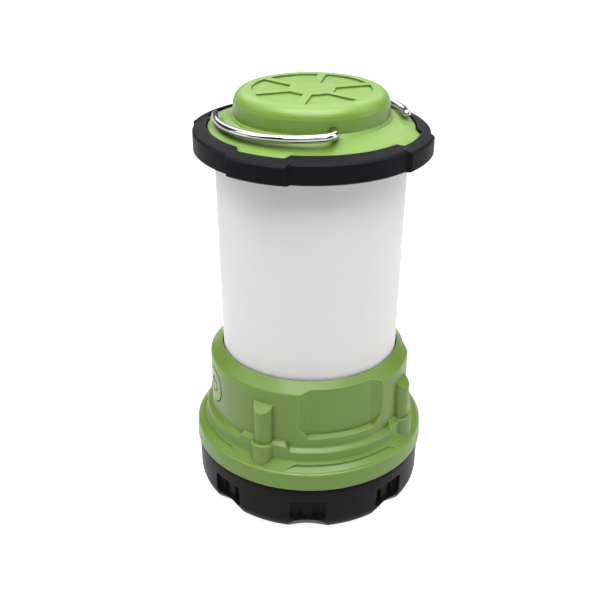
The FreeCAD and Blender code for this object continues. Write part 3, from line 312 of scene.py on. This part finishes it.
arc = []
for step in range(ARC_STEPS + 1):
    angle = math.pi / 2 + ARC_GAP + (2 * math.pi - 2 * ARC_GAP) * step / ARC_STEPS
    arc.append((ARC_RADIUS * math.cos(angle), ARC_RADIUS * math.sin(angle)))
printed("power_icon_ring", arc)
printed("power_icon_bar", [(0, BAR_FOOT + BAR_STEP * step) for step in range(7)])


# ---------------------------------------------------------------------------
# Floor, light and camera
# ---------------------------------------------------------------------------
FLOOR_HALF_SIZE = 3.0
FLOOR_DROP = 0.0001
AIM_POINT = Vector((0, 0, 0.12))
CAMERA_AZIMUTH = -109.0
# name, azimuth from the camera's, elevation, distance, width, height, power
LIGHTS = (
    ("top_light", 0, 76, 0.45, 0.44, 0.44, 5.4),
    ("back_light", 180, 44, 1.1, 1.4, 0.9, 8.5),
    ("left_high_light", -90, 50, 1.0, 0.6, 0.6, 3.2),
    ("right_high_light", 90, 50, 1.0, 0.6, 0.6, 2.0),
    ("front_light", 0, 25, 1.2, 0.8, 0.4, 0.6),
    ("left_low_light", -90, 15, 1.0, 0.5, 0.8, 0.8),
    ("right_low_light", 90, 15, 1.0, 0.5, 0.8, 1.8),
)


def make_floor():
    """Plain ground just under the feet, with a strong glow of its own that keeps it white."""
    ground = bmesh.new()
    bmesh.ops.create_grid(ground, x_segments=2, y_segments=2, size=FLOOR_HALF_SIZE)
    mesh = bpy.data.meshes.new("floor")
    ground.to_mesh(mesh)
    ground.free()
    floor = bpy.data.objects.new("floor", mesh)
    scene.collection.objects.link(floor)
    floor.location.z = -FLOOR_DROP
    paper = Finish("floor_paper", Roughness=0.9)
    paper.shader.inputs["Base Color"].default_value = (0.25, 0.25, 0.25, 1.0)
    paper.shader.inputs["Emission Color"].default_value = (1.0, 1.0, 1.0, 1.0)
    paper.shader.inputs["Emission Strength"].default_value = 0.93
    floor.data.materials.append(paper.material)


def softbox(name, azimuth, elevation, distance, width, tall, energy):
    """Rectangular area light that faces the lantern."""
    light = bpy.data.lights.new(name, "AREA")
    light.shape = "RECTANGLE"
    light.size = width
    light.size_y = tall
    light.energy = energy
    lamp = bpy.data.objects.new(name, light)
    scene.collection.objects.link(lamp)
    around, above = math.radians(CAMERA_AZIMUTH + azimuth), math.radians(elevation)
    level = math.cos(above)
    toward = Vector((math.cos(around) * level, math.sin(around) * level, math.sin(above)))
    lamp.location = AIM_POINT + toward * distance
    lamp.rotation_euler = toward.to_track_quat("Z", "Y").to_euler()


def make_world():
    """Studio surroundings: pale at the horizon, falling to a dim ceiling."""
    world = bpy.data.worlds.new("studio")
    world.use_nodes = True
    tree = world.node_tree
    direction = tree.nodes.new("ShaderNodeTexCoord")
    parts = tree.nodes.new("ShaderNodeSeparateXYZ")
    fall = tree.nodes.new("ShaderNodeMapRange")
    fall.interpolation_type = "SMOOTHSTEP"
    for socket, number in (("From Min", 0.02), ("From Max", 0.26),
                           ("To Min", 0.5), ("To Max", 0.05)):
        fall.inputs[socket].default_value = number
    tree.links.new(direction.outputs["Generated"], parts.inputs["Vector"])
    tree.links.new(parts.outputs["Z"], fall.inputs["Value"])
    tree.links.new(fall.outputs["Result"], tree.nodes["Background"].inputs["Color"])
    scene.world = world


make_floor()
for light in LIGHTS:
    softbox(*light)
make_world()
scene.view_settings.view_transform = "Standard"

CAMERA_PITCH = 0.466466
CAMERA_ROLL = 0.0043405
CAMERA_DISTANCE = 0.470633
CAMERA_SHIFT = (-0.0044733, 0.0596922)
AIM_HEIGHT = 0.024564
FOCAL_LENGTH = 57.989

turn = Matrix.Rotation(math.radians(CAMERA_AZIMUTH + 90), 3, "Z")
ahead = turn @ Vector((0, math.cos(CAMERA_PITCH), -math.sin(CAMERA_PITCH)))
up = turn @ Vector((0, math.sin(CAMERA_PITCH), math.cos(CAMERA_PITCH)))
right = turn @ Vector((1, 0, 0))
eye = Vector((0, 0, AIM_HEIGHT)) - ahead * CAMERA_DISTANCE
eye += right * CAMERA_SHIFT[0] + up * CAMERA_SHIFT[1]
rolled_right = right * math.cos(CAMERA_ROLL) + up * math.sin(CAMERA_ROLL)
rolled_up = up * math.cos(CAMERA_ROLL) - right * math.sin(CAMERA_ROLL)
camera = bpy.data.objects.new("camera", bpy.data.cameras.new("camera"))
scene.collection.objects.link(camera)
camera.data.sensor_width = 36.0
camera.data.lens = FOCAL_LENGTH
facing = Matrix((rolled_right, rolled_up, -ahead)).transposed()
camera.matrix_world = Matrix.Translation(eye) @ facing.to_4x4()
scene.camera = camera
